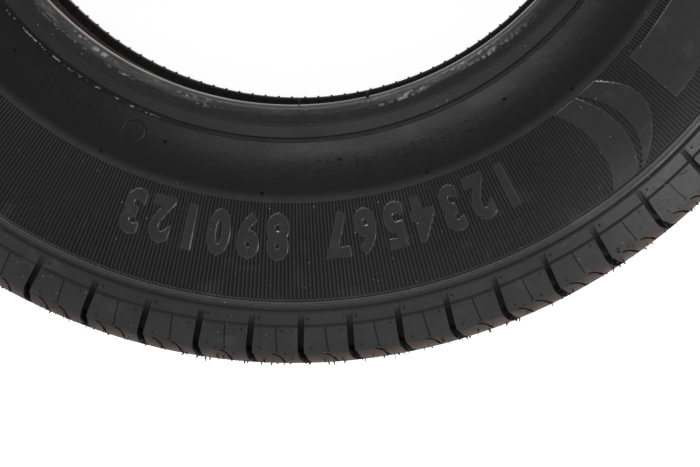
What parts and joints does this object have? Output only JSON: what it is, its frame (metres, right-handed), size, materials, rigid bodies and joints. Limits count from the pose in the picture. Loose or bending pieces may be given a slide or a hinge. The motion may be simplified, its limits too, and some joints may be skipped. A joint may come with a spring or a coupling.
{
  "type": "trailer tyre",
  "caption": "Radial tyre for a small trailer or van wheel, off its rim, with grooved tread, angled shoulder slots and two bead seats.",
  "frame": {"origin": "middle of the tyre on its spin axis, which is also the middle of its box", "axes": "+Z along the spin axis, out of the front sidewall; the tyre lies on its rear sidewall"},
  "size_m": [0.5888, 0.5888, 0.165],
  "materials": {
    "rubber": "satin moulded rubber"
  },
  "bodies": {
    "root": {"tyre": "rubber"}
  },
  "joints": []
}
